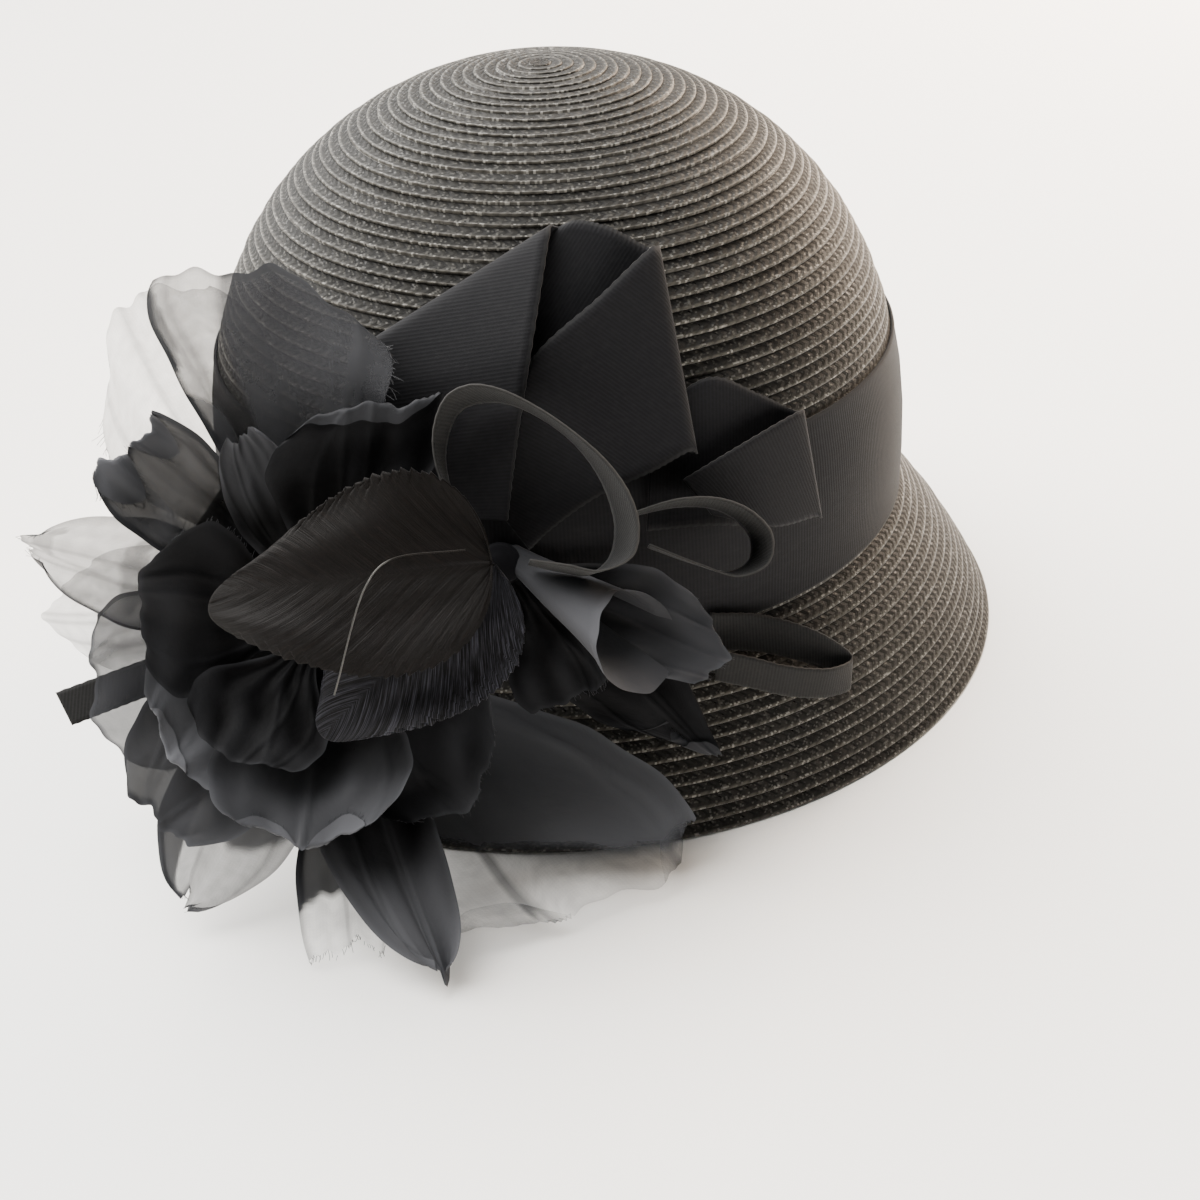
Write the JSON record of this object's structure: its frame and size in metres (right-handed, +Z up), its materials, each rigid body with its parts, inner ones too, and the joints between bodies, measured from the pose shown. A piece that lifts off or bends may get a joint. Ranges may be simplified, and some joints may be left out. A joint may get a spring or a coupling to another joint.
{
  "type": "straw cloche hat",
  "caption": "Close-fitting sewn-straw hat with a short downturned brim, a wide ribbon band and bow, and a large translucent cloth flower on one side; worn on the head.",
  "frame": {"origin": "middle of the oval head opening, in the plane of the brim's lower edge", "axes": "+Z up from the rim to the crown's tip, X along the oval's long axis, -Y towards the side with the flower"},
  "size_m": [0.2662, 0.2721, 0.169],
  "materials": {
    "straw": "black plaited straw braid, slightly glossy",
    "grosgrain": "black ribbed ribbon, matte",
    "organza": "sheer black organza",
    "leaf_cloth": "brown-black satin cloth, stamped with veins",
    "binding": "black thread binding",
    "wire": "thin bare wire"
  },
  "bodies": {
    "root": {"crown": "straw", "brim": "straw", "hat_band": "grosgrain", "bow_loop_large": "grosgrain", "bow_loop_small": "grosgrain", "narrow_loop_1": "grosgrain", "narrow_loop_2": "grosgrain", "narrow_loop_3": "grosgrain", "ribbon_tail": "grosgrain", "petal_back_upper": "organza", "petal_upright": "organza", "petal_curled": "organza", "petal_left": "organza", "petal_left_back": "organza", "petal_lower_left": "organza", "petal_low": "organza", "petal_pointed": "organza", "petal_bottom_blunt": "organza", "petal_bottom_point": "organza", "petal_bottom_wide": "organza", "petal_brim": "organza", "petal_rolled": "organza", "petal_lobe": "organza", "petal_small": "organza", "petal_bowl_left": "organza", "petal_bowl_bottom": "organza", "petal_bowl_right": "organza", "petal_folded": "organza", "petal_sliver": "organza", "petal_inner_left": "organza", "petal_inner_lower": "organza", "leaf_upper": "leaf_cloth", "leaf_lower": "leaf_cloth", "flower_stem": "binding", "bow_knot": "binding", "leaf_stem": "wire"}
  },
  "joints": []
}
